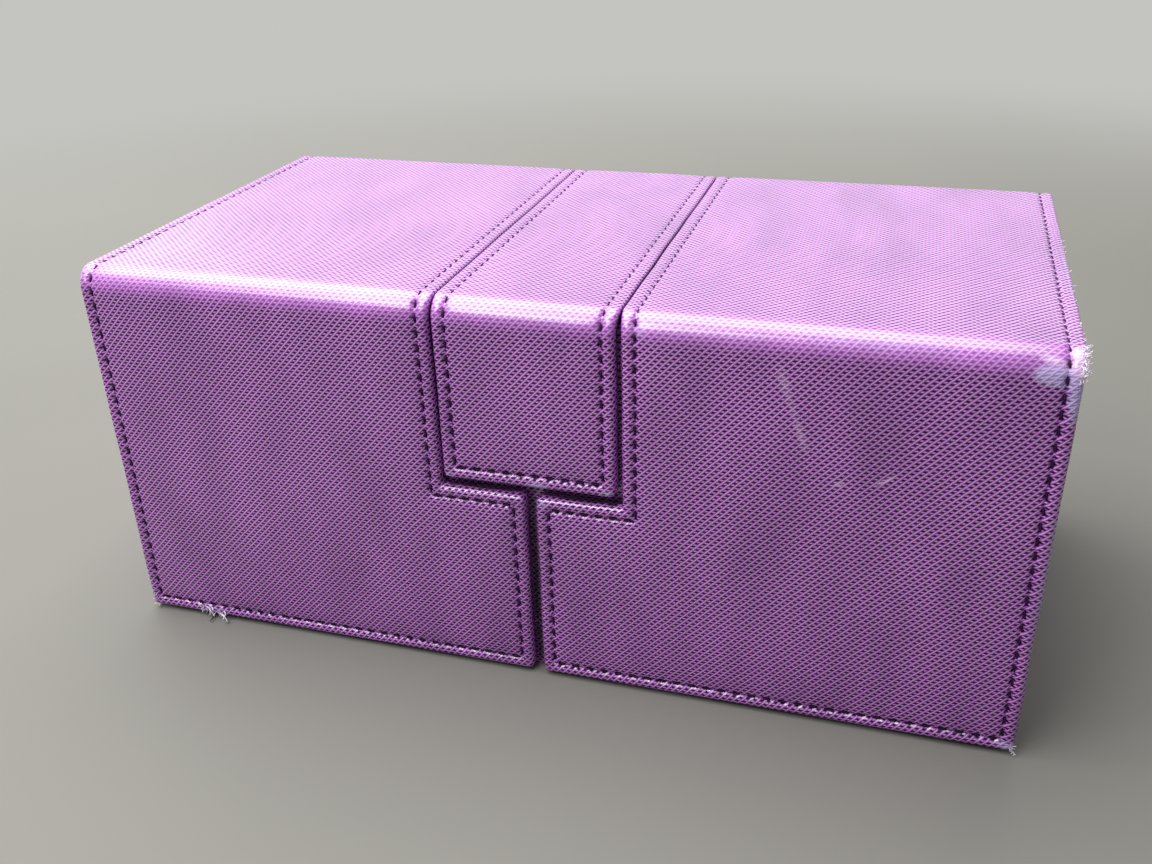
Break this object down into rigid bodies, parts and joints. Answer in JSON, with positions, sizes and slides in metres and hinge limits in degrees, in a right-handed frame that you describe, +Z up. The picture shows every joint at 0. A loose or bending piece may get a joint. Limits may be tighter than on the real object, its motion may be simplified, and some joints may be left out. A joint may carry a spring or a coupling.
{
  "type": "trading card deck box",
  "caption": "Wide leather-look deck box: two flip lids and a centre strap fold over the top and front, with card compartments inside and a drawer in each end",
  "frame": {"origin": "middle of the underside, on the surface the box stands on", "axes": "+X to the right along the box, +Y from the front to the back, +Z up; the front faces -Y"},
  "size_m": [0.225, 0.115, 0.098],
  "materials": {
    "cover_sheet": "satin",
    "grey_board": "matte",
    "microfibre": "matte",
    "steel": "satin"
  },
  "bodies": {
    "case": {"case_base_skin": "cover_sheet", "case_base_board": "grey_board", "case_shelf": "grey_board", "case_divider": "grey_board", "case_bay_partition": "grey_board", "case_front_board": "grey_board", "case_front_skin": "cover_sheet", "case_keepers": "steel", "case_back_board": "grey_board", "case_back_skin": "cover_sheet", "case_left_wall_board": "grey_board", "case_left_wall_skin": "cover_sheet", "case_right_wall_board": "grey_board", "case_right_wall_skin": "cover_sheet", "case_left_lining": "microfibre", "case_right_lining": "microfibre"},
    "left_lid_top": {"left_lid_top_skin": "cover_sheet", "left_lid_top_board": "grey_board", "left_lid_top_lining": "microfibre", "left_lid_hinge": "cover_sheet"},
    "left_lid_front": {"left_lid_front_skin": "cover_sheet", "left_lid_front_board": "grey_board", "left_lid_front_lining": "microfibre", "left_lid_front_magnets": "steel", "left_lid_fold": "cover_sheet"},
    "right_lid_top": {"right_lid_top_skin": "cover_sheet", "right_lid_top_board": "grey_board", "right_lid_top_lining": "microfibre", "right_lid_hinge": "cover_sheet"},
    "right_lid_front": {"right_lid_front_skin": "cover_sheet", "right_lid_front_board": "grey_board", "right_lid_front_lining": "microfibre", "right_lid_front_magnets": "steel", "right_lid_fold": "cover_sheet"},
    "strap_top": {"strap_top_skin": "cover_sheet", "strap_top_board": "grey_board", "strap_top_lining": "microfibre", "strap_hinge": "cover_sheet"},
    "strap_tab": {"strap_tab_skin": "cover_sheet", "strap_tab_board": "grey_board", "strap_tab_lining": "microfibre", "strap_tab_magnets": "steel", "strap_fold": "cover_sheet"},
    "left_drawer": {"left_drawer_front_skin": "cover_sheet", "left_drawer_front_board": "grey_board", "left_drawer_bottom": "grey_board", "left_drawer_sides": "grey_board", "left_drawer_back": "grey_board", "left_drawer_lining": "microfibre", "left_drawer_pull": "cover_sheet"},
    "right_drawer": {"right_drawer_front_skin": "cover_sheet", "right_drawer_front_board": "grey_board", "right_drawer_bottom": "grey_board", "right_drawer_sides": "grey_board", "right_drawer_back": "grey_board", "right_drawer_lining": "microfibre", "right_drawer_pull": "cover_sheet"}
  },
  "joints": [
    {"name": "left_lid_hinge", "type": "hinge", "parent": "case", "child": "left_lid_top", "pos_m": [0, 0.05633, 0.09683], "axis": [-1, 0, 0], "range_deg": [0, 200], "deforming": ["left_lid_hinge"]},
    {"name": "left_lid_fold", "type": "hinge", "parent": "left_lid_top", "child": "left_lid_front", "pos_m": [0, -0.05604, 0.09654], "axis": [-1, 0, 0], "range_deg": [0, 90], "deforming": ["left_lid_fold"]},
    {"name": "right_lid_hinge", "type": "hinge", "parent": "case", "child": "right_lid_top", "pos_m": [0, 0.05633, 0.09683], "axis": [-1, 0, 0], "range_deg": [0, 200], "deforming": ["right_lid_hinge"]},
    {"name": "right_lid_fold", "type": "hinge", "parent": "right_lid_top", "child": "right_lid_front", "pos_m": [0, -0.05604, 0.09654], "axis": [-1, 0, 0], "range_deg": [0, 90], "deforming": ["right_lid_fold"]},
    {"name": "strap_hinge", "type": "hinge", "parent": "case", "child": "strap_top", "pos_m": [0, 0.05633, 0.09683], "axis": [-1, 0, 0], "range_deg": [0, 200], "deforming": ["strap_hinge"]},
    {"name": "strap_fold", "type": "hinge", "parent": "strap_top", "child": "strap_tab", "pos_m": [0, -0.05604, 0.09654], "axis": [-1, 0, 0], "range_deg": [0, 90], "deforming": ["strap_fold"]},
    {"name": "left_drawer_slide", "type": "slide", "parent": "case", "child": "left_drawer", "axis": [-1, 0, 0], "range_m": [0, 0.08]},
    {"name": "right_drawer_slide", "type": "slide", "parent": "case", "child": "right_drawer", "axis": [1, 0, 0], "range_m": [0, 0.08]}
  ]
}
